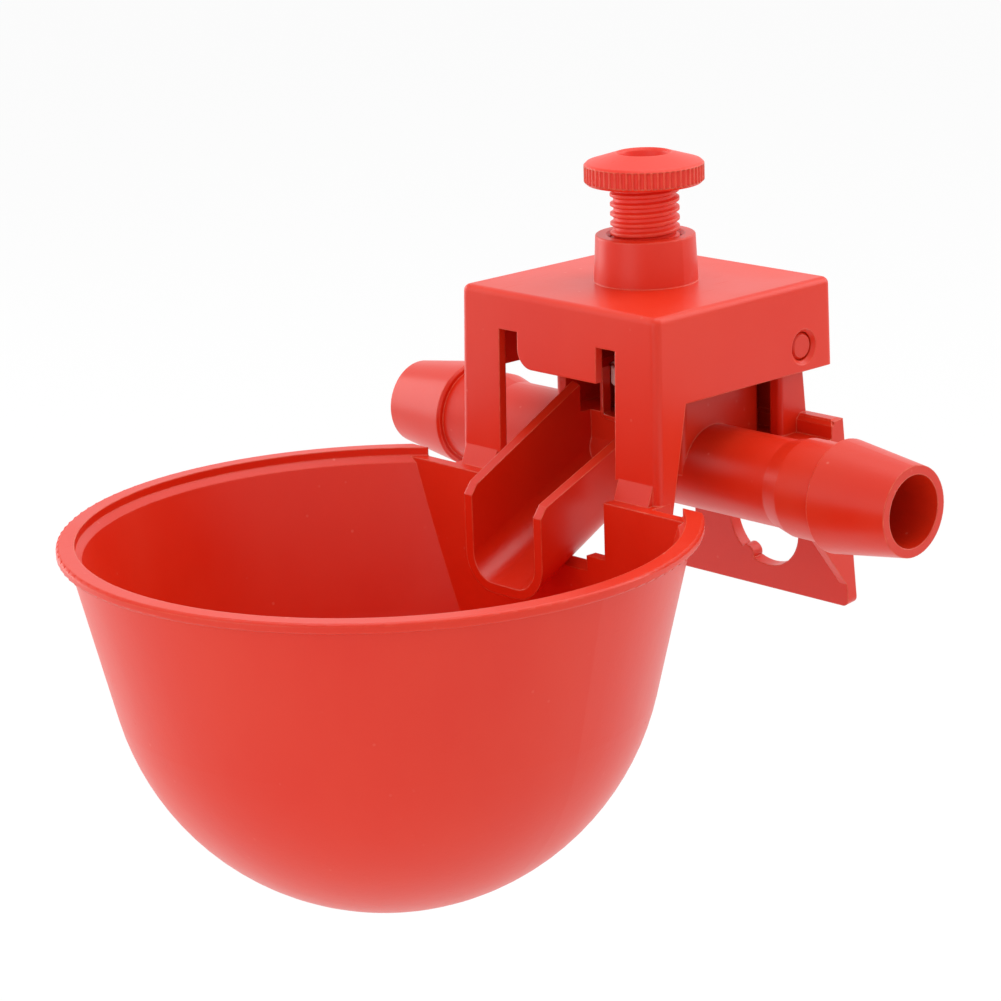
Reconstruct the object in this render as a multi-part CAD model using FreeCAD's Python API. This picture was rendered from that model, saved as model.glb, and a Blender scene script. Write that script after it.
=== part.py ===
"""Hanging cup drinker for poultry: a bowl that swings on a hose tee and works a water valve.

Frame: origin at the middle of the through pipe, +X along the pipe, -Y towards the bowl, +Z up.
Units are millimetres.  The bowl is drawn level, in its raised, empty position.
"""
import FreeCAD, Part
import math
import os

V = FreeCAD.Vector

# ---- through pipe and hose barbs ----
pipe_half_length = 38.4
pipe_r = 4.9
pipe_bore_r = 4.0
flare_start_x = 21.4
neck_start_x = 23.7
neck_r = 5.5
barb_start_x = 28.6
barb_big_r = 6.3
barb_end_r = 5.0
barb_edge_round = 0.3

# ---- valve housing on top of the pipe ----
housing_half_width = 9.9
housing_front_y = -5.1
housing_back_y = 7.7
housing_top_z = 11.5
housing_edge_round = 0.8
housing_wall = 1.8
chamber_floor_above_bore = 1.2
guide_wall = 1.1
guide_slot_half_width = 2.4
nozzle_outer_r = 2.2
nozzle_bore_r = 1.3
nozzle_height = 2.0
nozzle_lip_round = 0.3

# ---- sloping spout ----
spout_end_y = -23.3
spout_half_width = 6.0
spout_wall = 1.2
spout_floor = 1.1
spout_under_slope_deg = 27.0
spout_floor_slope_deg = 25.0
spout_left_slope_deg = 26.9
spout_right_slope_deg = 22.2
spout_bottom_z = -11.5
spout_left_top_z = -0.1
spout_right_top_z = -0.9
spout_corner_r = 4.2
spout_nose_chamfer = 1.2

# ---- rear plate, shelf, gussets and posts ----
plate_top_z = 4.6
plate_top_y = 12.0
plate_length = 22.3
plate_lean_deg = 6.1
plate_thickness = 1.5
plate_half_width = 18.4
plate_corner_r = 0.9
rib_depth = 1.9
rib_height = 2.1
rib_chamfer = 0.6
rib_end_round = 0.6
web_thickness = 1.5
gusset_thickness = 1.1
gusset_foot_height = 2.6
gusset_root_y = 3.5
ear_outer_x = 13.2
ear_thickness = 1.5
ear_front_y = 7.4
ear_edge_round = 0.6
ear_top_above_pivot = 2.6
ear_wall_set_back = 0.3
hang_hole_right_x = 6.4
hang_hole_left_x = 9.6
hang_hole_drop = 14.3
hang_hole_r = 5.2
hang_nib_reach = 0.9
hang_nib_width = 2.0
hang_nib_turn_deg = 35.0

# ---- pivot ----
pivot_y = 9.2
pivot_z = 12.8
pin_r = 1.55
pin_clearance = 0.08
pin_end_gap = 0.3
pin_end_chamfer = 0.3
pivot_mouth_chamfer = 0.4

# ---- bowl ----
bowl_centre_y = -40.9
rim_z = 0.5
rim_r = 34.0
rim_thickness = 1.1
rim_round = 0.3
rim_step_r = 32.05
rim_step_drop = 0.9
bowl_top_r = 33.06
bowl_depth = 41.4
bowl_taper_deg = 13.1
bowl_wall = 1.3
back_wall_y = -15.8
back_wall_thickness = 1.4
back_wall_drop = 1.0

# ---- cap and legs ----
cap_half_width = 15.1
cap_front = -14.3
cap_back = 14.0
cap_top_z = 20.0
cap_skirt = 10.0
cap_wall = 1.5
cap_front_wall = 1.0
cap_top_thickness = 1.5
cap_side_draft = 0.014
cap_front_draft = 0.026
cap_corner_r = 0.9
cap_edge_round = 0.8
slot_half_width = 9.0
slot_top_drop = 4.3
tab_half_width = 6.1
tab_height = 4.0
tab_corner_r = 2.2
leg_foot_z = -2.4
leg_web_top = 4.5
leg_web_foot = 2.0
pad_top_z = 1.9
pad_inset = 0.8
pad_side_gap = 0.5
pad_forward = 0.85
ledge_thickness = 1.8
window_half_width = 9.5
sill_z = -6.95
notch_side_gap = 0.7
notch_gap = 0.3

# ---- threaded collar and adjusting screw ----
collar_r = 5.6
collar_foot_r = 5.85
collar_height = 5.3
collar_mouth_chamfer = 0.4
screw_crest_r = 3.95
screw_root_r = 3.5
screw_clearance = 0.09
thread_engaged_below_mouth = 0.5
screw_foot_z = 16.0
screw_bore_r = 2.9
screw_bore_top_z = 30.0
head_bottom_z = 31.0
head_rim_height = 2.4
head_crown_height = 1.0
head_r = 6.7
head_recess_r = 2.8
head_recess_depth = 2.4
knurl_count = 60
knurl_depth = 0.22
knurl_r = 0.26

# ---- plunger, seal and spring ----
valve_lift = 0.6
seat_gap = 0.05
plunger_r = 4.3
plunger_clearance = 0.08
plunger_thickness = 2.2
plunger_stem_r = 1.3
plunger_stem_top_z = 16.5
plunger_edge_round = 0.3
flute_count = 4
flute_r = 0.9
pad_r = 3.0
pad_thickness = 1.2
pad_recess = 0.8
pad_clearance = 0.03
spring_wire = 0.6
spring_mean_r = 2.2
spring_turns = 9
spring_end_gap = 0.1

# ---- worked out from the sizes above ----
chamber_floor_z = pipe_bore_r + chamber_floor_above_bore
seat_z = chamber_floor_z + nozzle_height
pad_z = seat_z + seat_gap + valve_lift
plunger_z = pad_z + pad_thickness - pad_recess
plunger_top_z = plunger_z + plunger_thickness
lean = math.radians(plate_lean_deg)
taper = math.radians(bowl_taper_deg)
plate_foot_z = plate_top_z - plate_length * math.cos(lean)
wall_top_z = rim_z - back_wall_drop
bowl_inner_y = back_wall_y - back_wall_thickness


def block(x0, x1, y0, y1, z0, z1):
    """Box between two corners."""
    return Part.makeBox(x1 - x0, y1 - y0, z1 - z0, V(x0, y0, z0))


def side_prism(points_yz, x0, x1):
    """Outline in the YZ plane, drawn out from x0 to x1."""
    wire = Part.makePolygon([V(x0, y, z) for y, z in points_yz + points_yz[:1]])
    return Part.Face(wire).extrude(V(x1 - x0, 0, 0))


def turned(edges, centre, axis):
    """Full turn of a closed outline about an axis."""
    return Part.Face(Part.Wire(edges)).revolve(centre, axis, 360)


def polyline(points):
    """Edges through a list of points, closed."""
    ring = points + points[:1]
    return [Part.LineSegment(a, b).toShape() for a, b in zip(ring, ring[1:])]


def mirrored(shape):
    """The shape and its copy on the other side of the middle plane."""
    return [shape, shape.mirror(V(0, 0, 0), V(1, 0, 0))]


def plate_y(z):
    """Y of the plate's back face at a height."""
    return plate_top_y + (plate_top_z - z) * math.tan(lean)


# ======================= tee moulding =======================

def pipe():
    """Through pipe with a flared neck and a conical barb at each end."""
    half = [(flare_start_x, pipe_r), (neck_start_x, neck_r), (barb_start_x, neck_r),
            (barb_start_x, barb_big_r - barb_edge_round), (barb_start_x + barb_edge_round, barb_big_r),
            (pipe_half_length, barb_end_r)]
    outline = [V(-pipe_half_length, 0, 0)]
    outline += [V(-x, 0, r) for x, r in reversed(half)]
    outline += [V(x, 0, r) for x, r in half]
    outline += [V(pipe_half_length, 0, 0)]
    return turned(polyline(outline), V(0, 0, 0), V(1, 0, 0))


def housing():
    """Valve housing: a block with rounded upright edges, open to the spout in front."""
    body = block(-housing_half_width, housing_half_width, housing_front_y, housing_back_y,
                 0, housing_top_z)
    uprights = [e for e in body.Edges if abs(e.tangentAt(e.FirstParameter).z) > 0.9]
    return body.makeFillet(housing_edge_round, uprights)


def along_spout(z, slope_deg, y):
    """Height at y of a line that starts at z over the open end and climbs towards the pipe."""
    return z + (y - spout_end_y) * math.tan(math.radians(slope_deg))


def spout_section(half_width, bottom_z, left_top_z, right_top_z, corner_r, y):
    """U outline across the spout in an upright plane."""
    w = half_width
    k = corner_r * (1 - math.cos(math.pi / 4))
    left_a = V(-w, y, bottom_z + corner_r)
    left_b = V(-w + corner_r, y, bottom_z)
    right_a = V(w - corner_r, y, bottom_z)
    right_b = V(w, y, bottom_z + corner_r)
    return Part.Wire([
        Part.LineSegment(V(-w, y, left_top_z), left_a).toShape(),
        Part.Arc(left_a, V(-w + k, y, bottom_z + k), left_b).toShape(),
        Part.LineSegment(left_b, right_a).toShape(),
        Part.Arc(right_a, V(w - k, y, bottom_z + k), right_b).toShape(),
        Part.LineSegment(right_b, V(w, y, right_top_z)).toShape(),
        Part.LineSegment(V(w, y, right_top_z), V(-w, y, left_top_z)).toShape(),
    ])


def spout_outer():
    """Outside of the spout, from its open end back into the pipe, with a cut nose on each wall."""
    sections = []
    for y in (spout_end_y, housing_front_y + 1.0):
        sections.append(spout_section(
            spout_half_width, along_spout(spout_bottom_z, spout_under_slope_deg, y),
            along_spout(spout_left_top_z, spout_left_slope_deg, y),
            along_spout(spout_right_top_z, spout_right_slope_deg, y), spout_corner_r, y))
    body = Part.makeLoft(sections, True, True)
    c = spout_nose_chamfer
    y = spout_end_y
    for side, top_z in ((-1, spout_left_top_z), (1, spout_right_top_z)):
        nose = [(y - c, top_z - 2 * c), (y - c, top_z + 2 * c), (y + 2 * c, top_z + 2 * c)]
        body = body.cut(side_prism(nose, side * spout_half_width * 1.1, side * spout_half_width * 0.4))
    return body


def spout_hollow():
    """Inside of the spout, open above and at its front end."""
    w = spout_half_width - spout_wall
    over = max(spout_left_top_z, spout_right_top_z) + 4
    sections = []
    for y in (spout_end_y - 1.0, housing_front_y + 0.6):
        top = along_spout(over, spout_left_slope_deg, y)
        floor = along_spout(spout_bottom_z + spout_floor, spout_floor_slope_deg, y)
        sections.append(spout_section(w, floor, top, top, spout_corner_r - spout_wall, y))
    return Part.makeLoft(sections, True, True)


def rear_plate():
    """Leaning plate with rounded lower corners and a pair of hanging holes."""
    low = -plate_length
    body = block(-plate_half_width, plate_half_width, -plate_thickness, 0, low, 0)
    corners = [e for e in body.Edges
               if abs(e.tangentAt(e.FirstParameter).y) > 0.9 and e.CenterOfMass.z < low / 2]
    body = body.makeFillet(plate_corner_r, corners)
    for side, from_middle in ((-1, hang_hole_left_x), (1, hang_hole_right_x)):
        body = body.cut(hang_hole(side, from_middle))
    body.rotate(V(0, 0, 0), V(1, 0, 0), plate_lean_deg)
    body.translate(V(0, plate_top_y, plate_top_z))
    return body


def hang_hole(side, from_middle):
    """Round hole, less the small nib that reaches in at its lower inner edge."""
    depth = plate_thickness * 3
    start = V(side * from_middle, plate_thickness, -hang_hole_drop)
    hole = Part.makeCylinder(hang_hole_r, depth, start, V(0, -1, 0))
    half = hang_nib_width / 2
    nib = block(-half, half, -depth, depth, -hang_hole_r - 1, hang_nib_reach - hang_hole_r)
    upper = [e for e in nib.Edges if e.CenterOfMass.z > -hang_hole_r and abs(e.tangentAt(0).y) > 0.9]
    nib = nib.makeFillet(half * 0.95, upper)
    nib.rotate(V(0, 0, 0), V(0, 1, 0), side * hang_nib_turn_deg)
    nib.translate(V(start.x, 0, start.z))
    return hole.cut(nib)


def top_rib():
    """Bar along the plate's top edge with rounded ends, and the flat web under it that runs to the pipe."""
    web_top = plate_top_z - rib_height
    web_foot = web_top - web_thickness
    rib_front = plate_top_y - rib_depth
    bar = side_prism([(rib_front, web_top), (rib_front, plate_top_z - rib_chamfer),
                      (rib_front + rib_chamfer, plate_top_z), (plate_y(plate_top_z), plate_top_z),
                      (plate_y(web_top), web_top)], -plate_half_width, plate_half_width)
    ends = [e for e in bar.Edges if abs(e.CenterOfMass.x) > plate_half_width - 0.01
            and abs(e.CenterOfMass.z - plate_top_z) < 0.01]
    web = side_prism([(0, web_foot), (0, web_top), (plate_y(web_top), web_top), (plate_y(web_foot), web_foot)],
                     -plate_half_width, plate_half_width)
    return bar.makeChamfer(rib_end_round, ends).fuse(web)


def gusset():
    """Side web between pipe and plate, with a slanting lower edge."""
    foot_z = plate_foot_z + gusset_foot_height
    web_top = plate_top_z - rib_height
    inner = plate_thickness / 2
    return side_prism([(0, web_top), (plate_y(web_top) - inner, web_top), (plate_y(foot_z) - inner, foot_z),
                       (plate_y(foot_z) - plate_thickness, foot_z),
                       (gusset_root_y, -math.sqrt(pipe_r ** 2 - gusset_root_y ** 2)), (0, 0)],
                      plate_half_width - gusset_thickness, plate_half_width)


def ear_wall():
    """Upright wall in line with the plate behind the housing, with an ear at each end for the pins."""
    top = pivot_z + ear_top_above_pivot
    foot = plate_top_z - rib_height
    wall = side_prism([(plate_y(foot) - plate_thickness, foot), (plate_y(top) - plate_thickness, top),
                       (plate_y(top) - ear_wall_set_back, top), (plate_y(foot) - ear_wall_set_back, foot)],
                      -ear_outer_x, ear_outer_x)
    ear = side_prism([(ear_front_y, foot), (ear_front_y, top), (plate_y(top) - plate_thickness / 2, top),
                      (plate_y(foot) - plate_thickness / 2, foot)], ear_outer_x - ear_thickness, ear_outer_x)
    crown = [e for e in ear.Edges if e.CenterOfMass.z > top - 0.01 and e.CenterOfMass.y < ear_front_y + 0.01]
    ear = ear.makeFillet(ear_top_above_pivot * 0.7, crown)
    upright = [e for e in ear.Edges if abs(e.tangentAt(e.FirstParameter).z) > 0.9
               and e.CenterOfMass.y < ear_front_y + 0.01 and e.CenterOfMass.x > ear_outer_x - 0.01]
    return wall.multiFuse(mirrored(ear.makeFillet(ear_edge_round, upright)))


def pivot_pin():
    """Pin on the ear's outer face; its end stops just inside the cap's side."""
    end_x = cap_side_x(pivot_z) - pin_end_gap
    root_x = ear_outer_x - ear_thickness / 2
    body = Part.makeCylinder(pin_r, end_x - root_x, V(root_x, pivot_y, pivot_z), V(1, 0, 0))
    rim = [e for e in body.Edges if e.CenterOfMass.x > end_x - 0.1 and e.Closed]
    return body.makeChamfer(pin_end_chamfer, rim[:1])


def chamber():
    """Room above the pipe, open above and towards the spout."""
    half = housing_half_width - housing_wall
    return block(-half, half, housing_front_y - 1, housing_back_y - housing_wall,
                 chamber_floor_z, housing_top_z + 1)


def nozzle():
    """Raised lip that the seal closes, rounded at its edge."""
    body = Part.makeCylinder(nozzle_outer_r, seat_z - chamber_floor_z + 0.5, V(0, 0, chamber_floor_z - 0.5))
    return body.makeFillet(nozzle_lip_round, [e for e in body.Edges
                                             if e.Closed and e.CenterOfMass.z > seat_z - 0.1])


def plunger_guide():
    """Ring that keeps the plunger straight, cut away in front for the water."""
    inner = plunger_r + plunger_clearance
    height = plunger_top_z - chamber_floor_z
    ring = Part.makeCylinder(inner + guide_wall, height + 0.5, V(0, 0, chamber_floor_z - 0.5))
    ring = ring.cut(Part.makeCylinder(inner, height + 2, V(0, 0, chamber_floor_z)))
    return ring.cut(block(-guide_slot_half_width, guide_slot_half_width, -inner - guide_wall - 1, 0,
                          chamber_floor_z, plunger_top_z + 1))


def tee_body():
    """One moulding: pipe, housing, spout, rear plate, ears and pins."""
    solids = [housing(), spout_outer(), rear_plate(), top_rib(), ear_wall()]
    solids += mirrored(gusset()) + mirrored(pivot_pin())
    body = pipe().multiFuse(solids).removeSplitter()
    body = body.cut(spout_hollow().cut(pipe()))
    body = body.cut(chamber())
    body = body.multiFuse([nozzle(), plunger_guide()])
    body = body.cut(Part.makeCylinder(pipe_bore_r, 2 * pipe_half_length + 2,
                                      V(-pipe_half_length - 1, 0, 0), V(1, 0, 0)))
    body = body.cut(Part.makeCylinder(nozzle_bore_r, seat_z + 1, V(0, 0, 0)))
    return body


# ======================= bowl moulding =======================

def bowl_profile(wall_in, depth_top):
    """Half outline of the bowl's skin, moved in by wall_in: straight taper, then a round bottom."""
    k = math.tan(taper)
    q = math.sqrt(1 + k * k)
    centre_drop = (bowl_depth * q - bowl_top_r) / (q - k)
    radius = bowl_depth - centre_drop - wall_in
    join_drop = centre_drop + radius * k / q
    join_r = radius / q
    top_r = join_r + (join_drop - depth_top) * k
    z = rim_z
    mid = math.radians((90 + bowl_taper_deg) / 2)
    arc_mid = V(radius * math.cos(mid), 0, z - centre_drop - radius * math.sin(mid))
    return (V(top_r, 0, z - depth_top), V(join_r, 0, z - join_drop), arc_mid,
            V(0, 0, z - centre_drop - radius))


def bowl_solid(wall_in, depth_top):
    """Solid of revolution inside the bowl's skin, up to depth_top below the rim."""
    top, join, mid, bottom = bowl_profile(wall_in, depth_top)
    edges = [Part.LineSegment(V(0, 0, top.z), top).toShape(), Part.LineSegment(top, join).toShape(),
             Part.Arc(join, mid, bottom).toShape(), Part.LineSegment(bottom, V(0, 0, top.z)).toShape()]
    body = turned(edges, V(0, 0, 0), V(0, 0, 1))
    body.translate(V(0, bowl_centre_y, 0))
    return body


def rim_flange():
    """Flat lip around the bowl's mouth with softened edges."""
    low = rim_z - rim_thickness
    inner = bowl_top_r - 2 * bowl_wall
    body = Part.makeCylinder(rim_r, rim_thickness, V(0, bowl_centre_y, low))
    body = body.makeFillet(rim_round, [e for e in body.Edges if e.Closed])
    return body.cut(Part.makeCylinder(inner, rim_thickness + 2, V(0, bowl_centre_y, low - 1)))


def rim_step():
    """Shallow step just inside the rim, sloping back to the bowl's wall."""
    low = rim_z - rim_step_drop
    slope = rim_step_r - bowl_top_r + 2 * bowl_wall
    outline = [V(0, 0, rim_z + bowl_wall), V(rim_step_r, 0, rim_z + bowl_wall), V(rim_step_r, 0, low),
               V(rim_step_r - slope, 0, low - slope), V(0, 0, low - slope)]
    body = turned(polyline(outline), V(0, 0, 0), V(0, 0, 1))
    body.translate(V(0, bowl_centre_y, 0))
    return body


def behind(y, z_top=60):
    """Everything behind a plane across the bowl."""
    return block(-60, 60, y, 60, -80, z_top)


def back_wall():
    """Flat wall that closes the bowl behind, lower than the rim."""
    slab = block(-60, 60, bowl_inner_y, back_wall_y, -80, wall_top_z)
    return slab.common(bowl_solid(0, 0))


def bowl_shell():
    """Bowl with its rim cut straight at the back and closed by the flat wall."""
    skin = bowl_solid(0, rim_thickness / 2).fuse(rim_flange())
    skin = skin.cut(bowl_solid(bowl_wall, -1)).cut(rim_step()).cut(behind(back_wall_y))
    return skin.fuse(back_wall())


def cap_side_x(z):
    """Half width of the cap's outside at a height."""
    return cap_half_width + (cap_top_z - z) * cap_side_draft


def cap_front_y(z):
    """Y of the cap's front face at a height."""
    return cap_front - (cap_top_z - z) * cap_front_draft


def drafted_block(z0, z1, side_in, front_in, back_in):
    """Block between two heights that widens downwards, moved in from the cap's outside."""
    wires = []
    for z in (z0, z1):
        w = cap_side_x(z) - side_in
        front = cap_front_y(z) + front_in
        back = cap_back + (cap_top_z - z) * cap_side_draft - back_in
        corners = [V(-w, front, z), V(w, front, z), V(w, back, z), V(-w, back, z)]
        wires.append(Part.makePolygon(corners + corners[:1]))
    return Part.makeLoft(wires, True, True)


def cap_outer():
    """Outside of the cap and legs with rounded upright and top edges."""
    body = drafted_block(leg_foot_z, cap_top_z, 0, 0, 0)
    uprights = [e for e in body.Edges if abs(e.tangentAt(e.FirstParameter).z) > 0.9]
    body = body.makeFillet(cap_corner_r, uprights)
    crown = [e for e in body.Edges if e.BoundBox.ZMin > cap_top_z - 0.01]
    return body.makeFillet(cap_edge_round, crown)


def leg_clearance():
    """What is taken away below the skirt, behind the tapering leg webs."""
    skirt_z = cap_top_z - cap_skirt
    y_top = cap_front_y(skirt_z) + leg_web_top
    y_foot = cap_front_y(leg_foot_z) + leg_web_foot
    return side_prism([(y_top, skirt_z), (40, skirt_z), (40, leg_foot_z - 1), (y_foot, leg_foot_z - 1)],
                      -40, 40)


def front_slot():
    """Opening between the legs, with the hanging tab left standing at its top."""
    slot_top = cap_top_z - slot_top_drop
    y0 = cap_front - 3
    y1 = cap_front + cap_front_wall + 1.5
    opening = block(-slot_half_width, slot_half_width, y0, y1, leg_foot_z - 3, slot_top)
    tab = block(-tab_half_width, tab_half_width, y0 - 1, y1 + 1, slot_top - tab_height, slot_top + 1)
    corner = [e for e in tab.Edges if abs(e.tangentAt(e.FirstParameter).y) > 0.9
              and e.CenterOfMass.z < slot_top - 1 and e.CenterOfMass.x < 0]
    return opening.cut(tab.makeFillet(tab_corner_r, corner))


def leg_foot():
    """Ledge that joins the leg to the top of the bowl's flat wall, and the wedge pad above it."""
    y_back = cap_front_y(leg_foot_z) + leg_web_foot
    side = cap_side_x(leg_foot_z)
    ledge = block(window_half_width, side, bowl_inner_y, y_back, wall_top_z - ledge_thickness, wall_top_z)
    front = cap_front_y(pad_top_z)
    pad = side_prism([(front + 0.3, pad_top_z + 0.6), (front - pad_forward, wall_top_z),
                      (front - pad_forward, wall_top_z - 0.6), (front + 0.3, wall_top_z - 0.6)],
                     slot_half_width + pad_side_gap, side - pad_inset)
    return ledge.fuse(pad)


def collar():
    """Boss for the screw, slightly wider at its foot."""
    foot = cap_top_z - 0.3
    body = Part.makeCone(collar_foot_r, collar_r, collar_height + 0.3, V(0, 0, foot))
    top = [e for e in body.Edges if e.Closed and e.CenterOfMass.z > foot + 1]
    return body.makeFillet(collar_mouth_chamfer / 2, top[:1])


def screw_hole():
    """Plain bore at the thread's crest with a bevelled mouth."""
    r = screw_crest_r + screw_clearance
    top = cap_top_z + collar_height
    bore = Part.makeCylinder(r, top + 2 - screw_foot_z, V(0, 0, screw_foot_z))
    mouth = Part.makeCone(r, r + collar_mouth_chamfer + 0.1, collar_mouth_chamfer + 0.1,
                          V(0, 0, top - collar_mouth_chamfer))
    return bore.fuse(mouth)


def pivot_hole():
    """Hole for the tee's pin in one side of the cap, bevelled outside."""
    r = pin_r + pin_clearance
    outer = cap_side_x(pivot_z)
    hole = Part.makeCylinder(r, 6, V(outer - 4, pivot_y, pivot_z), V(1, 0, 0))
    c = pivot_mouth_chamfer
    mouth = Part.makeCone(r, r + c + 0.2, c + 0.2, V(outer - c, pivot_y, pivot_z), V(1, 0, 0))
    return hole.fuse(mouth)


def window():
    """Opening in the bowl's flat wall, with a lower notch that follows the spout's underside."""
    y0 = bowl_inner_y - 2
    y1 = back_wall_y + 2
    main = block(-window_half_width, window_half_width, y0, y1, sill_z, rim_z + 1)
    half = spout_half_width + notch_side_gap
    under = [along_spout(spout_bottom_z, spout_under_slope_deg, y) - notch_gap for y in (y0, y1)]
    notch = side_prism([(y0, under[0]), (y1, under[1]), (y1, rim_z), (y0, rim_z)], -half, half)
    return main.fuse(notch)


def bowl():
    """One moulding: bowl, flat back wall, legs, cap and collar."""
    inner = drafted_block(leg_foot_z - 1, cap_top_z - cap_top_thickness, cap_wall, cap_front_wall, cap_wall)
    cap = cap_outer().cut(inner).cut(leg_clearance()).cut(front_slot())
    body = bowl_shell().multiFuse([cap, collar()] + mirrored(leg_foot()))
    body = body.cut(window()).cut(screw_hole())
    for hole in mirrored(pivot_hole()):
        body = body.cut(hole)
    return body.removeSplitter()


# ======================= valve pieces =======================

def adjusting_screw():
    """Hollow screw with a domed, knurled head: crest size in the collar, root size above it."""
    thread_top = cap_top_z + collar_height - thread_engaged_below_mouth
    crown = head_bottom_z + head_rim_height + head_crown_height
    rim_top = head_bottom_z + head_rim_height
    soft = 0.3
    outline = [V(screw_bore_r, 0, screw_foot_z), V(screw_root_r, 0, screw_foot_z),
               V(screw_crest_r, 0, screw_foot_z + screw_crest_r - screw_root_r),
               V(screw_crest_r, 0, thread_top), V(screw_root_r, 0, thread_top),
               V(screw_root_r, 0, head_bottom_z), V(head_r - soft, 0, head_bottom_z),
               V(head_r, 0, head_bottom_z + soft), V(head_r, 0, rim_top - soft),
               V(head_r - soft, 0, rim_top), V(head_recess_r + soft, 0, crown),
               V(head_recess_r, 0, crown - soft), V(head_recess_r * 0.8, 0, crown - head_recess_depth),
               V(0, 0, crown - head_recess_depth), V(0, 0, screw_bore_top_z),
               V(screw_bore_r, 0, screw_bore_top_z)]
    body = turned(polyline(outline), V(0, 0, 0), V(0, 0, 1))
    groove = Part.makeCylinder(knurl_r, head_rim_height - 2 * soft,
                               V(head_r + knurl_r - knurl_depth, 0, head_bottom_z + soft))
    grooves = []
    for i in range(knurl_count):
        g = groove.copy()
        g.rotate(V(0, 0, 0), V(0, 0, 1), 360.0 * i / knurl_count)
        grooves.append(g)
    return body.cut(Part.makeCompound(grooves))


def valve_plunger():
    """Fluted disc on a stem, with a recess for the seal below."""
    disc = Part.makeCylinder(plunger_r, plunger_thickness, V(0, 0, plunger_z))
    disc = disc.makeFillet(plunger_edge_round, [e for e in disc.Edges if e.Closed])
    stem_height = plunger_stem_top_z - plunger_top_z + 0.5
    stem = Part.makeCylinder(plunger_stem_r, stem_height, V(0, 0, plunger_top_z - 0.5))
    stem = stem.makeFillet(plunger_edge_round, [e for e in stem.Edges
                                                if e.Closed and e.CenterOfMass.z > plunger_top_z + 1])
    body = disc.fuse(stem)
    body = body.cut(Part.makeCylinder(pad_r + pad_clearance, pad_recess + 1, V(0, 0, plunger_z - 1)))
    for i in range(flute_count):
        flute = Part.makeCylinder(flute_r, plunger_thickness + 2, V(plunger_r, 0, plunger_z - 1))
        flute.rotate(V(0, 0, 0), V(0, 0, 1), 45 + 360.0 * i / flute_count)
        body = body.cut(flute)
    return body


def seal_pad():
    """Rubber disc in the plunger's recess."""
    return Part.makeCylinder(pad_r, pad_thickness, V(0, 0, pad_z))


def valve_spring():
    """Coil spring from the plunger up into the screw."""
    low = plunger_top_z + spring_end_gap + spring_wire / 2
    high = screw_bore_top_z - spring_end_gap - spring_wire / 2
    path = Part.makeHelix((high - low) / spring_turns, high - low, spring_mean_r)
    path.translate(V(0, 0, low))
    section = Part.Wire(Part.makeCircle(spring_wire / 2, V(spring_mean_r, 0, low), V(0, 1, 0)))
    return Part.Wire(path).makePipeShell([section], True, True)


def export(name, shape):
    """Write one sub-part as a single clean solid."""
    solid = shape.Solids[0] if len(shape.Solids) == 1 else shape
    assert len(shape.Solids) == 1 and solid.isValid(), name
    solid.exportStep(os.path.join("parts", name + ".step"))
    box = solid.BoundBox
    print("%-16s %8.1f mm3  %6.2f %6.2f %6.2f" % (name, solid.Volume, box.XLength, box.YLength, box.ZLength))


def main():
    os.makedirs("parts", exist_ok=True)
    export("tee_body", tee_body())
    export("bowl", bowl())
    export("adjusting_screw", adjusting_screw())
    export("valve_plunger", valve_plunger())
    export("seal_pad", seal_pad())
    export("valve_spring", valve_spring())


main()
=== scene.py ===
import math

import bmesh
import bpy
from mathutils import Matrix, Vector


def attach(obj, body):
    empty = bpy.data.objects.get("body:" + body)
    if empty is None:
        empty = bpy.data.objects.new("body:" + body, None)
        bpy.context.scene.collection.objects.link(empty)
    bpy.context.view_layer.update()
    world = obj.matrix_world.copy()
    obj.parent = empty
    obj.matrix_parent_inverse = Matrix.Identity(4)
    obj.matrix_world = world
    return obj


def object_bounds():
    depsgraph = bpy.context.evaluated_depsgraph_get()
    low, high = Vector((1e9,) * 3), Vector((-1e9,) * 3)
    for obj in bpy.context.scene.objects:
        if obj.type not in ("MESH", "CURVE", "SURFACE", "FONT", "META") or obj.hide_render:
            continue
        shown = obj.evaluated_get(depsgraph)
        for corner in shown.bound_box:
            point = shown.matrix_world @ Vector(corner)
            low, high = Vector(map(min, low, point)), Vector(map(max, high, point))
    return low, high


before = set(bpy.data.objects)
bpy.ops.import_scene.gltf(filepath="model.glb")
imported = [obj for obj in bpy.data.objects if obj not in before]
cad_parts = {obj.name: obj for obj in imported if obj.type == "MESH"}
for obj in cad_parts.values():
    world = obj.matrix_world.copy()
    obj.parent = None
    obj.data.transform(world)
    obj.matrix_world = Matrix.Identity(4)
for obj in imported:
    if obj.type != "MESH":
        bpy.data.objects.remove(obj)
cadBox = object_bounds()
mm = 0.001

# camera

cameraView = {
    "location": (251.58, -260.39, 96.03),  # mm
    "azimuth": 46.722,
    "elevation": 15.618,
    "roll": -1.917,
    "lens": 118.68,
    "sensor": 36.0,
    "clip": (0.01, 20.0),  # m
}


def placeCamera(view):
    data = bpy.data.cameras.new("productCamera")
    data.lens = view["lens"]
    data.sensor_width = view["sensor"]
    data.clip_start, data.clip_end = view["clip"]
    camera = bpy.data.objects.new("productCamera", data)
    bpy.context.scene.collection.objects.link(camera)
    camera.matrix_world = (
        Matrix.Translation(Vector(view["location"]) * mm)
        @ Matrix.Rotation(math.radians(view["azimuth"]), 4, "Z")
        @ Matrix.Rotation(math.radians(90 - view["elevation"]), 4, "X")
        @ Matrix.Rotation(math.radians(view["roll"]), 4, "Z")
    )
    bpy.context.scene.camera = camera


placeCamera(cameraView)
bpy.context.scene.view_settings.view_transform = "Standard"
print("camera placed")

# studio: a soft pale room, four round lamps and a pale floor

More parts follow.
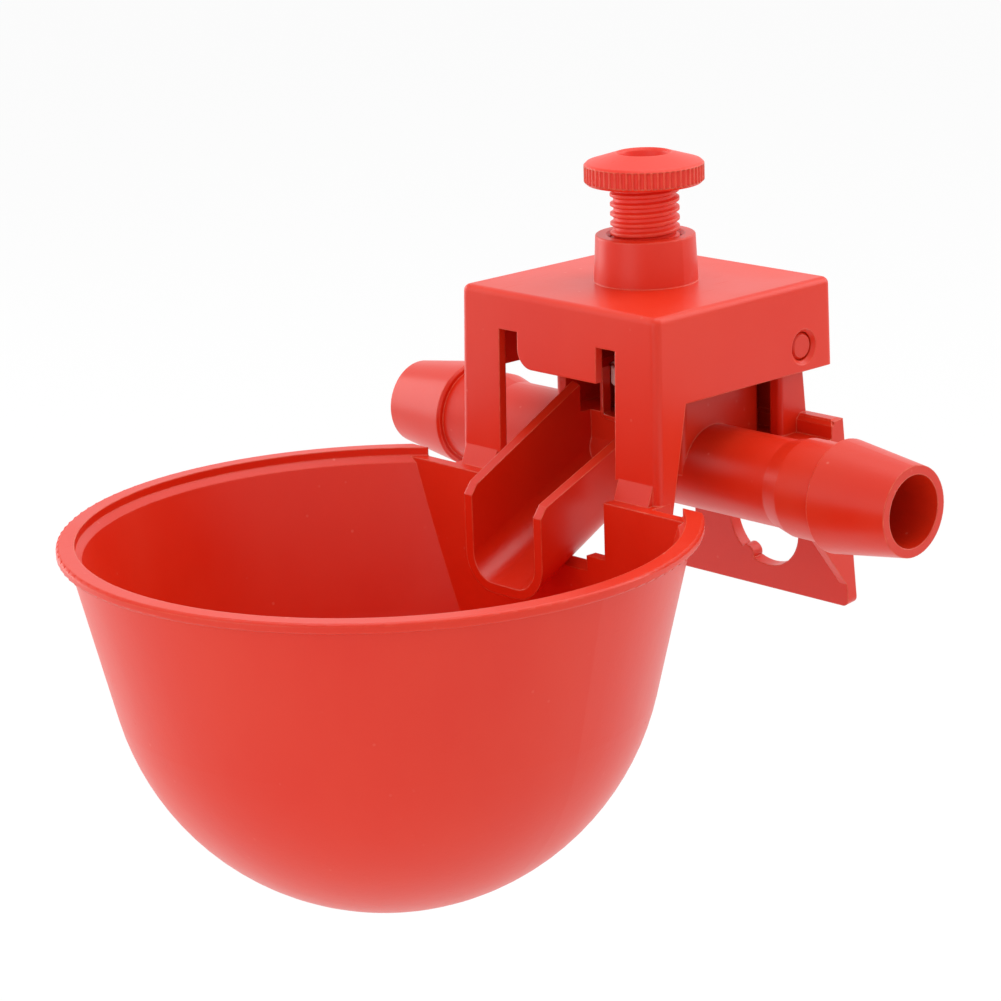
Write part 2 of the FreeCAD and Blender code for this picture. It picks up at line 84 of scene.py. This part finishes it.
studio = {
    "roomLevel": 0.76,
    "aim": (0, -18, -6),  # mm, what the lamps face
    "lamps": {
        # name: (place in mm, diameter in m, watts)
        "topLamp": ((40, 120, 620), 0.60, 1.8),
        "leftLamp": ((-600, -150, 120), 0.50, 1.4),
        "frontLamp": ((60, -620, 120), 0.50, 0.7),
        "backLamp": ((250, 520, 300), 0.50, 1.35),
    },
    "floorHalf": 3.0,  # m
    "floorDrop": 70,  # mm of air under the bowl, which hangs clear of the ground
    "floorColour": (0.86, 0.86, 0.86, 1),
    "floorSeen": 0.90,  # share of plain white in the floor as it is seen
    "floorMirrored": 0.38,  # the same share in what gloss and glass show of it
}


def addLamp(name, place, size, power):
    data = bpy.data.lights.new(name, "AREA")
    data.shape = "DISK"
    data.size = size
    data.energy = power
    lamp = bpy.data.objects.new(name, data)
    bpy.context.scene.collection.objects.link(lamp)
    lamp.location = Vector(place) * mm
    towards = Vector(place) - Vector(studio["aim"])
    lamp.rotation_euler = towards.to_track_quat("Z", "Y").to_euler()


def seenDirectly(tree, seen=1.0, mirrored=1.0):
    # "seen" for rays from the camera, "mirrored" for what gloss and glass show, else 0
    path = tree.nodes.new("ShaderNodeLightPath")
    shares = []
    rays = (("Is Camera Ray", seen), ("Is Glossy Ray", mirrored), ("Is Transmission Ray", mirrored))
    for ray, level in rays:
        scaled = tree.nodes.new("ShaderNodeMath")
        scaled.operation = "MULTIPLY"
        scaled.inputs[1].default_value = level
        tree.links.new(path.outputs[ray], scaled.inputs[0])
        shares.append(scaled.outputs[0])
    share = shares[0]
    for other in shares[1:]:
        larger = tree.nodes.new("ShaderNodeMath")
        larger.operation = "MAXIMUM"
        tree.links.new(share, larger.inputs[0])
        tree.links.new(other, larger.inputs[1])
        share = larger.outputs[0]
    return share


def lightRoom():
    world = bpy.data.worlds.new("softRoom")
    world.use_nodes = True
    tree = world.node_tree
    tree.nodes.clear()
    mix = tree.nodes.new("ShaderNodeMixShader")
    tree.links.new(seenDirectly(tree), mix.inputs["Fac"])
    for socket, level in ((1, studio["roomLevel"]), (2, 1.0)):
        glow = tree.nodes.new("ShaderNodeBackground")
        glow.inputs["Color"].default_value = (1, 1, 1, 1)
        glow.inputs["Strength"].default_value = level
        tree.links.new(glow.outputs[0], mix.inputs[socket])
    out = tree.nodes.new("ShaderNodeOutputWorld")
    tree.links.new(mix.outputs[0], out.inputs["Surface"])
    bpy.context.scene.world = world


def palePaper():
    material = bpy.data.materials.new("palePaper")
    material.use_nodes = True
    tree = material.node_tree
    tree.nodes.clear()
    paper = tree.nodes.new("ShaderNodeBsdfDiffuse")
    paper.inputs["Color"].default_value = studio["floorColour"]
    glow = tree.nodes.new("ShaderNodeEmission")
    glow.inputs["Color"].default_value = (1, 1, 1, 1)
    mix = tree.nodes.new("ShaderNodeMixShader")
    out = tree.nodes.new("ShaderNodeOutputMaterial")
    share = seenDirectly(tree, studio["floorSeen"], studio["floorMirrored"])
    tree.links.new(share, mix.inputs["Fac"])
    tree.links.new(paper.outputs[0], mix.inputs[1])
    tree.links.new(glow.outputs[0], mix.inputs[2])
    tree.links.new(mix.outputs[0], out.inputs["Surface"])
    return material


def layFloor():
    low = cadBox[0][2] - studio["floorDrop"] * mm
    mesh = bpy.data.meshes.new("paleFloor")
    bm = bmesh.new()
    bmesh.ops.create_grid(bm, x_segments=1, y_segments=1, size=studio["floorHalf"])
    bmesh.ops.translate(bm, vec=(0, 0, low), verts=bm.verts)
    bm.to_mesh(mesh)
    bm.free()
    mesh.materials.append(palePaper())
    floor = bpy.data.objects.new("paleFloor", mesh)
    bpy.context.scene.collection.objects.link(floor)


for name, (place, size, power) in studio["lamps"].items():
    addLamp(name, place, size, power)
lightRoom()
layFloor()
print("studio lit")

# shared effects, each a node group with named inputs


def newGroup(name, inputs, outputs):
    group = bpy.data.node_groups.new(name, "ShaderNodeTree")
    for label, kind, value in inputs:
        socket = group.interface.new_socket(name=label, in_out="INPUT", socket_type=kind)
        if value is not None:
            socket.default_value = value
    for label, kind in outputs:
        group.interface.new_socket(name=label, in_out="OUTPUT", socket_type=kind)
    return group, group.nodes.new("NodeGroupInput"), group.nodes.new("NodeGroupOutput")


def addMath(tree, operation, first, second=0.0, clamp=False):
    node = tree.nodes.new("ShaderNodeMath")
    node.operation = operation
    node.use_clamp = clamp
    for socket, value in zip(node.inputs, (first, second)):
        if isinstance(value, (int, float)):
            socket.default_value = value
        else:
            tree.links.new(value, socket)
    return node.outputs[0]


def addNoise(tree, where, scale, detail=3.0, roughness=0.5):
    node = tree.nodes.new("ShaderNodeTexNoise")
    node.inputs["Detail"].default_value = detail
    node.inputs["Roughness"].default_value = roughness
    tree.links.new(where, node.inputs["Vector"])
    if isinstance(scale, (int, float)):
        node.inputs["Scale"].default_value = scale
    else:
        tree.links.new(scale, node.inputs["Scale"])
    return node.outputs["Fac"]


def remap(tree, value, low, high, newLow=0.0, newHigh=1.0):
    node = tree.nodes.new("ShaderNodeMapRange")
    for label, number in (("From Min", low), ("From Max", high), ("To Min", newLow), ("To Max", newHigh)):
        if isinstance(number, (int, float)):
            node.inputs[label].default_value = number
        else:
            tree.links.new(number, node.inputs[label])
    tree.links.new(value, node.inputs["Value"])
    return node.outputs["Result"]


def mixColour(tree, share, first, second):
    node = tree.nodes.new("ShaderNodeMix")
    node.data_type = "RGBA"
    for label, value in ((0, share), (6, first), (7, second)):
        if isinstance(value, (int, float, tuple)):
            node.inputs[label].default_value = value
        else:
            tree.links.new(value, node.inputs[label])
    return node.outputs[2]


def objectPlace(tree):
    return tree.nodes.new("ShaderNodeTexCoord").outputs["Object"]


flowLook = {
    "stretch": (1.0, 1.0, 0.45),
    "detail": 4.0,
    "roughness": 0.55,
    "cloudEdges": (0.38, 0.72),
}


def makeFlowMarks(look):
    # soft clouds and faint streaks that moulded polypropylene shows where it filled
    group, given, result = newGroup(
        "flowMarks",
        [("Base", "NodeSocketColor", (0.6, 0.02, 0.0, 1)), ("Pale", "NodeSocketColor", (0.8, 0.1, 0.05, 1)),
         ("Cloud Scale", "NodeSocketFloat", 60.0), ("Cloud Depth", "NodeSocketFloat", 0.3)],
        [("Color", "NodeSocketColor"), ("Cloud", "NodeSocketFloat")],
    )
    where = objectPlace(group)
    stretch = group.nodes.new("ShaderNodeMapping")
    stretch.inputs["Scale"].default_value = look["stretch"]
    group.links.new(where, stretch.inputs["Vector"])
    scale = given.outputs["Cloud Scale"]
    cloud = addNoise(group, stretch.outputs[0], scale, look["detail"], look["roughness"])
    cloud = remap(group, cloud, *look["cloudEdges"])
    share = addMath(group, "MULTIPLY", cloud, given.outputs["Cloud Depth"], clamp=True)
    colour = mixColour(group, share, given.outputs["Base"], given.outputs["Pale"])
    group.links.new(colour, result.inputs["Color"])
    group.links.new(cloud, result.inputs["Cloud"])
    return group


wearLook = {
    "bevelSamples": 6,
    "turned": (0.995, 0.86),  # how far the softened normal turns from the plain one
    "noiseDetail": 2.0,
    "breakEdges": (0.35, 0.65),
}


def makeEdgeWear(look):
    # paler plastic where a moulded edge is thin, scuffed or trimmed, broken up by noise
    group, given, result = newGroup(
        "edgeWear",
        [("Width", "NodeSocketFloat", 0.00025), ("Breakup Scale", "NodeSocketFloat", 900.0),
         ("Breakup", "NodeSocketFloat", 0.6), ("Strength", "NodeSocketFloat", 1.0)],
        [("Mask", "NodeSocketFloat"), ("Normal", "NodeSocketVector")],
    )
    soft = group.nodes.new("ShaderNodeBevel")
    soft.samples = look["bevelSamples"]
    group.links.new(given.outputs["Width"], soft.inputs["Radius"])
    plain = group.nodes.new("ShaderNodeNewGeometry")
    turn = group.nodes.new("ShaderNodeVectorMath")
    turn.operation = "DOT_PRODUCT"
    group.links.new(soft.outputs["Normal"], turn.inputs[0])
    group.links.new(plain.outputs["Normal"], turn.inputs[1])
    edge = remap(group, turn.outputs["Value"], *look["turned"])
    rough = addNoise(group, objectPlace(group), given.outputs["Breakup Scale"], look["noiseDetail"])
    rough = remap(group, rough, *look["breakEdges"])
    rough = addMath(group, "MULTIPLY", rough, given.outputs["Breakup"])
    kept = addMath(group, "MULTIPLY", edge, addMath(group, "SUBTRACT", 1.0, rough))
    mask = addMath(group, "MULTIPLY", kept, given.outputs["Strength"], clamp=True)
    group.links.new(mask, result.inputs["Mask"])
    group.links.new(soft.outputs["Normal"], result.inputs["Normal"])
    return group


grainLook = {
    "noiseDetail": 2.0,
    "drawnTurn": (0.4, 0.7, 1.1),
    "drawnStretch": (1.0, 0.06, 1.0),
    "lineScale": 3200.0,
    "lineDetail": 1.0,
    "lineEdges": (0.64, 0.72),
    "patchScale": 140.0,
    "patchEdges": (0.52, 0.66),
}


def makeSkinGrain(look):
    # height of the mould's fine skin: shallow ripple, tiny pits and a few hairline scuffs
    group, given, result = newGroup(
        "skinGrain",
        [("Ripple Scale", "NodeSocketFloat", 220.0), ("Pit Scale", "NodeSocketFloat", 2600.0),
         ("Pits", "NodeSocketFloat", 0.3), ("Scuffs", "NodeSocketFloat", 0.25)],
        [("Height", "NodeSocketFloat"), ("Scuff", "NodeSocketFloat")],
    )
    where = objectPlace(group)
    ripple = addNoise(group, where, given.outputs["Ripple Scale"], look["noiseDetail"])
    pits = addNoise(group, where, given.outputs["Pit Scale"], look["noiseDetail"])
    pits = addMath(group, "MULTIPLY", pits, given.outputs["Pits"])
    drawn = group.nodes.new("ShaderNodeMapping")
    drawn.inputs["Rotation"].default_value = look["drawnTurn"]
    drawn.inputs["Scale"].default_value = look["drawnStretch"]
    group.links.new(where, drawn.inputs["Vector"])
    line = addNoise(group, drawn.outputs[0], look["lineScale"], look["lineDetail"])
    patch = addNoise(group, where, look["patchScale"], look["noiseDetail"])
    patch = remap(group, patch, *look["patchEdges"])
    scuff = addMath(group, "MULTIPLY", remap(group, line, *look["lineEdges"]), patch)
    scuff = addMath(group, "MULTIPLY", scuff, given.outputs["Scuffs"], clamp=True)
    height = addMath(group, "SUBTRACT", addMath(group, "ADD", ripple, pits), scuff)
    group.links.new(height, result.inputs["Height"])
    group.links.new(scuff, result.inputs["Scuff"])
    return group


dustLook = {
    "speckEdges": (0.16, 0.06),  # of a cell's width
    "share": (0.86, 0.97),  # only the cells above this carry a speck
    "facing": (-0.4, 0.9),
    "leastUp": 0.25,
}


def makeDust(look):
    # sparse pale specks that settle on what faces up
    group, given, result = newGroup(
        "settledDust",
        [("Speck Scale", "NodeSocketFloat", 700.0), ("Amount", "NodeSocketFloat", 0.3)],
        [("Mask", "NodeSocketFloat")],
    )
    specks = group.nodes.new("ShaderNodeTexVoronoi")
    specks.inputs["Randomness"].default_value = 1.0
    group.links.new(objectPlace(group), specks.inputs["Vector"])
    group.links.new(given.outputs["Speck Scale"], specks.inputs["Scale"])
    near = remap(group, specks.outputs["Distance"], *look["speckEdges"])
    split = group.nodes.new("ShaderNodeSeparateColor")
    group.links.new(specks.outputs["Color"], split.inputs["Color"])
    few = remap(group, split.outputs[0], *look["share"])
    plain = group.nodes.new("ShaderNodeNewGeometry")
    axes = group.nodes.new("ShaderNodeSeparateXYZ")
    group.links.new(plain.outputs["Normal"], axes.inputs[0])
    upward = remap(group, axes.outputs["Z"], *look["facing"], look["leastUp"], 1.0)
    mask = addMath(group, "MULTIPLY", addMath(group, "MULTIPLY", near, few), upward)
    mask = addMath(group, "MULTIPLY", mask, given.outputs["Amount"], clamp=True)
    group.links.new(mask, result.inputs["Mask"])
    return group


flowMarks = makeFlowMarks(flowLook)
edgeWear = makeEdgeWear(wearLook)
skinGrain = makeSkinGrain(grainLook)
settledDust = makeDust(dustLook)
print("shared effects built")

# finishes


def placeGroup(tree, group, values):
    node = tree.nodes.new("ShaderNodeGroup")
    node.node_tree = group
    for label, value in values.items():
        node.inputs[label].default_value = value
    return node


skinDepth = 0.1  # mm, depth of the bump on every finish


def mouldedPlastic(name, look):
    material = bpy.data.materials.new(name)
    material.use_nodes = True
    tree = material.node_tree
    shader = tree.nodes["Principled BSDF"]
    flow = placeGroup(tree, flowMarks, {
        "Base": look["colour"], "Pale": look["cloudColour"],
        "Cloud Scale": look["cloudScale"], "Cloud Depth": look["cloudDepth"]})
    wear = placeGroup(tree, edgeWear, {
        "Width": look["edgeWidth"] * mm, "Breakup": look["edgeBreakup"], "Strength": look["edgeStrength"]})
    skin = placeGroup(tree, skinGrain, {
        "Ripple Scale": look["rippleScale"], "Pits": look["pits"], "Scuffs": look["scuffs"]})
    dust = placeGroup(tree, settledDust, {"Amount": look["dust"]})
    colour = mixColour(tree, wear.outputs["Mask"], flow.outputs["Color"], look["edgeColour"])
    colour = mixColour(tree, dust.outputs["Mask"], colour, look["dustColour"])
    tree.links.new(colour, shader.inputs["Base Color"])
    smoother, rougher = look["roughnessSpread"]
    gloss = remap(
        tree, flow.outputs["Cloud"], 0.0, 1.0, look["roughness"] - smoother, look["roughness"] + rougher)
    scuffed = addMath(tree, "MULTIPLY", skin.outputs["Scuff"], look["scuffRoughness"])
    gloss = addMath(tree, "ADD", gloss, scuffed, clamp=True)
    tree.links.new(gloss, shader.inputs["Roughness"])
    bump = tree.nodes.new("ShaderNodeBump")
    bump.inputs["Strength"].default_value = look["bump"]
    bump.inputs["Distance"].default_value = skinDepth * mm
    tree.links.new(skin.outputs["Height"], bump.inputs["Height"])
    tree.links.new(wear.outputs["Normal"], bump.inputs["Normal"])
    tree.links.new(bump.outputs["Normal"], shader.inputs["Normal"])
    shader.inputs["Specular IOR Level"].default_value = look["specular"]
    shader.inputs["IOR"].default_value = look["refraction"]
    return material


redLook = {
    "colour": (0.70, 0.020, 0.0025, 1),
    "cloudColour": (0.74, 0.042, 0.012, 1),
    "cloudScale": 55.0,
    "cloudDepth": 0.5,
    "edgeColour": (0.95, 0.20, 0.10, 1),
    "edgeWidth": 0.22,  # mm
    "edgeBreakup": 0.7,
    "edgeStrength": 0.75,
    "rippleScale": 240.0,
    "pits": 0.35,
    "scuffs": 0.25,
    "dust": 0.25,
    "dustColour": (0.93, 0.42, 0.32, 1),
    "roughness": 0.36,
    "roughnessSpread": (0.03, 0.05),
    "scuffRoughness": 0.3,
    "specular": 0.42,
    "refraction": 1.5,
    "bump": 0.22,
}

bowlRed = mouldedPlastic("bowlRed", redLook)
# the bowl's red plastic made darker for the tee: painted shade for the tee sitting in the cap's shadow
shadedTeeRed = mouldedPlastic("shadedTeeRed", dict(
    redLook, colour=(0.66, 0.018, 0.0025, 1), cloudColour=(0.68, 0.045, 0.016, 1), roughness=0.33))
# the bowl's red plastic made lighter and pinker for the screw: painted light and sheen of its lit head top
litScrewRed = mouldedPlastic("litScrewRed", dict(
    redLook, colour=(0.78, 0.025, 0.008, 1), cloudColour=(0.86, 0.06, 0.035, 1), roughness=0.40))
plungerWhite = mouldedPlastic("plungerWhite", dict(
    redLook, colour=(0.78, 0.77, 0.72, 1), cloudColour=(0.84, 0.83, 0.80, 1),
    edgeColour=(0.9, 0.9, 0.88, 1), dustColour=(0.6, 0.58, 0.52, 1)))


rubberLook = {
    "colour": (0.018, 0.018, 0.019, 1),
    "cloudColour": (0.045, 0.044, 0.042, 1),
    "cloudScale": 500.0,
    "cloudDepth": 0.6,
    "rippleScale": 1200.0,
    "pits": 0.8,
    "scuffs": 0.1,
    "bump": 0.4,
    "roughness": 0.62,
}


def rubberBlack(look):
    material = bpy.data.materials.new("sealRubber")
    material.use_nodes = True
    tree = material.node_tree
    shader = tree.nodes["Principled BSDF"]
    flow = placeGroup(tree, flowMarks, {
        "Base": look["colour"], "Pale": look["cloudColour"],
        "Cloud Scale": look["cloudScale"], "Cloud Depth": look["cloudDepth"]})
    skin = placeGroup(tree, skinGrain, {
        "Ripple Scale": look["rippleScale"], "Pits": look["pits"], "Scuffs": look["scuffs"]})
    tree.links.new(flow.outputs["Color"], shader.inputs["Base Color"])
    bump = tree.nodes.new("ShaderNodeBump")
    bump.inputs["Strength"].default_value = look["bump"]
    bump.inputs["Distance"].default_value = skinDepth * mm
    tree.links.new(skin.outputs["Height"], bump.inputs["Height"])
    tree.links.new(bump.outputs["Normal"], shader.inputs["Normal"])
    shader.inputs["Roughness"].default_value = look["roughness"]
    return material


steelLook = {
    "colour": (0.52, 0.52, 0.53, 1),
    "cloudColour": (0.66, 0.65, 0.63, 1),
    "cloudScale": 900.0,
    "cloudDepth": 0.7,
    "roughness": (0.22, 0.38),
}


def drawnSteel(look):
    material = bpy.data.materials.new("springSteel")
    material.use_nodes = True
    tree = material.node_tree
    shader = tree.nodes["Principled BSDF"]
    flow = placeGroup(tree, flowMarks, {
        "Base": look["colour"], "Pale": look["cloudColour"],
        "Cloud Scale": look["cloudScale"], "Cloud Depth": look["cloudDepth"]})
    tree.links.new(flow.outputs["Color"], shader.inputs["Base Color"])
    gloss = remap(tree, flow.outputs["Cloud"], 0.0, 1.0, *look["roughness"])
    tree.links.new(gloss, shader.inputs["Roughness"])
    shader.inputs["Metallic"].default_value = 1.0
    return material


nodeFinish = {
    "tee_body": shadedTeeRed,
    "bowl": bowlRed,
    "adjusting_screw": litScrewRed,
    "valve_plunger": plungerWhite,
    "seal_pad": rubberBlack(rubberLook),
    "valve_spring": drawnSteel(steelLook),
}
for name, finish in nodeFinish.items():
    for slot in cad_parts[name].material_slots:
        slot.material = finish
print("finishes set")

# thread, cut as a piece of its own and carried by the screw

weldGap = 0.002  # mm


def finishPiece(bm, name, body, material):
    # welds, turns the faces outwards and hands the mesh over as a piece on its body
    bmesh.ops.remove_doubles(bm, verts=bm.verts, dist=weldGap * mm)
    bmesh.ops.recalc_face_normals(bm, faces=bm.faces)
    mesh = bpy.data.meshes.new(name)
    bm.to_mesh(mesh)
    bm.free()
    mesh.materials.append(material)
    piece = bpy.data.objects.new(name, mesh)
    bpy.context.scene.collection.objects.link(piece)
    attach(piece, body)
    return piece


def ringSection(bm, points):
    # closed outline in the XZ plane, in mm, ready to spin
    verts = [bm.verts.new((x * mm, 0, z * mm)) for x, z in points]
    return bm.faces.new(verts)


screwThread = {
    "rootRadius": 3.35,
    "crestRadius": 3.88,
    "rootWidth": 0.95,
    "crestWidth": 0.30,
    "pitch": 1.08,
    "foot": 24.75,  # just above the long thread in the collar
    "head": 30.75,
    "stepsPerTurn": 48,
}


def cutThread(look):
    turns = (look["head"] - look["foot"]) / look["pitch"]
    steps = round(turns * look["stepsPerTurn"])
    bm = bmesh.new()
    half, tip = look["rootWidth"] / 2, look["crestWidth"] / 2
    foot = look["foot"]
    section = ringSection(bm, [
        (look["rootRadius"], foot - half), (look["crestRadius"], foot - tip),
        (look["crestRadius"], foot + tip), (look["rootRadius"], foot + half)])
    bmesh.ops.spin(
        bm, geom=[section] + list(section.edges) + list(section.verts), cent=(0, 0, 0), axis=(0, 0, 1),
        dvec=(0, 0, look["pitch"] * mm / look["stepsPerTurn"]),
        angle=math.tau * steps / look["stepsPerTurn"], steps=steps, use_duplicate=False)
    return finishPiece(bm, "screwThread", "screw", litScrewRed)


cutThread(screwThread)
print("thread cut")
